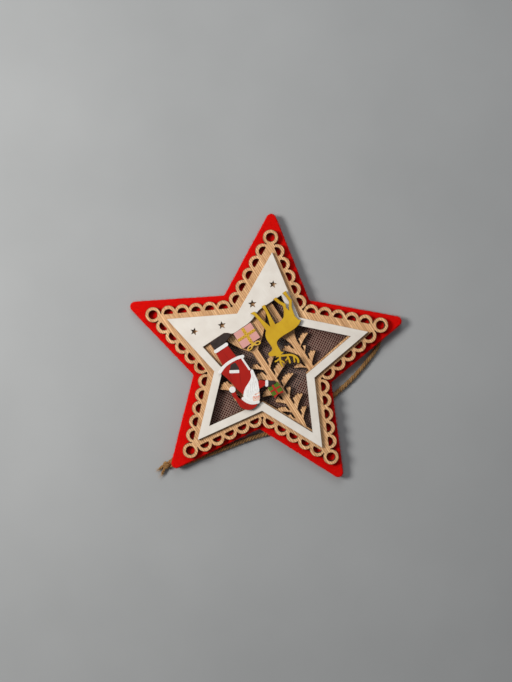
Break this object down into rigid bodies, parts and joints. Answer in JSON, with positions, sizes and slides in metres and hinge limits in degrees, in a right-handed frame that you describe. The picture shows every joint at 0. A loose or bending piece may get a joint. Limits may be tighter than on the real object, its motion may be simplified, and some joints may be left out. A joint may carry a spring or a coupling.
{
  "type": "layered star hanging ornament",
  "caption": "Hanging star ornament: red felt backing, pierced natural plywood, white snow frame, gauze window, painted winter figures and a folding jute cord.",
  "frame": {"origin": "centre of the felt star on the flat back of the felt", "axes": "+Z out of the front face, +Y towards the hanging tip, +X to the right seen from the front"},
  "size_m": [0.1486, 0.1343, 0.0123],
  "materials": {
    "felt": "matte pressed felt",
    "gauze": "open woven gauze",
    "plywood": "raw laser-cut birch plywood with burnt edges",
    "white_paint": "thin matte white paint over plywood",
    "red_paint": "printed matte colours over plywood",
    "ochre_paint": "matte ochre paint over plywood",
    "pink_paint": "matte pink paint over plywood",
    "jute": "rough twisted jute twine"
  },
  "bodies": {
    "star": {"felt_star": "felt", "window_mesh": "gauze", "lace_plate": "plywood", "snow_frame": "white_paint", "santa_figure": "red_paint", "reindeer_figure": "ochre_paint", "gift_parcel": "pink_paint"},
    "neck": {"cord_stem": "jute"},
    "loop": {"hanging_cord": "jute"}
  },
  "joints": [
    {"name": "cord_swivel", "type": "hinge", "parent": "star", "child": "neck", "pos_m": [0, 0.0532, 0], "axis": [0, 0, 1], "range_deg": [-35, 35]},
    {"name": "cord_fold", "type": "hinge", "parent": "neck", "child": "loop", "pos_m": [0, 0.0532, -0.00125], "axis": [1, 0, 0], "range_deg": [0, 180]}
  ]
}
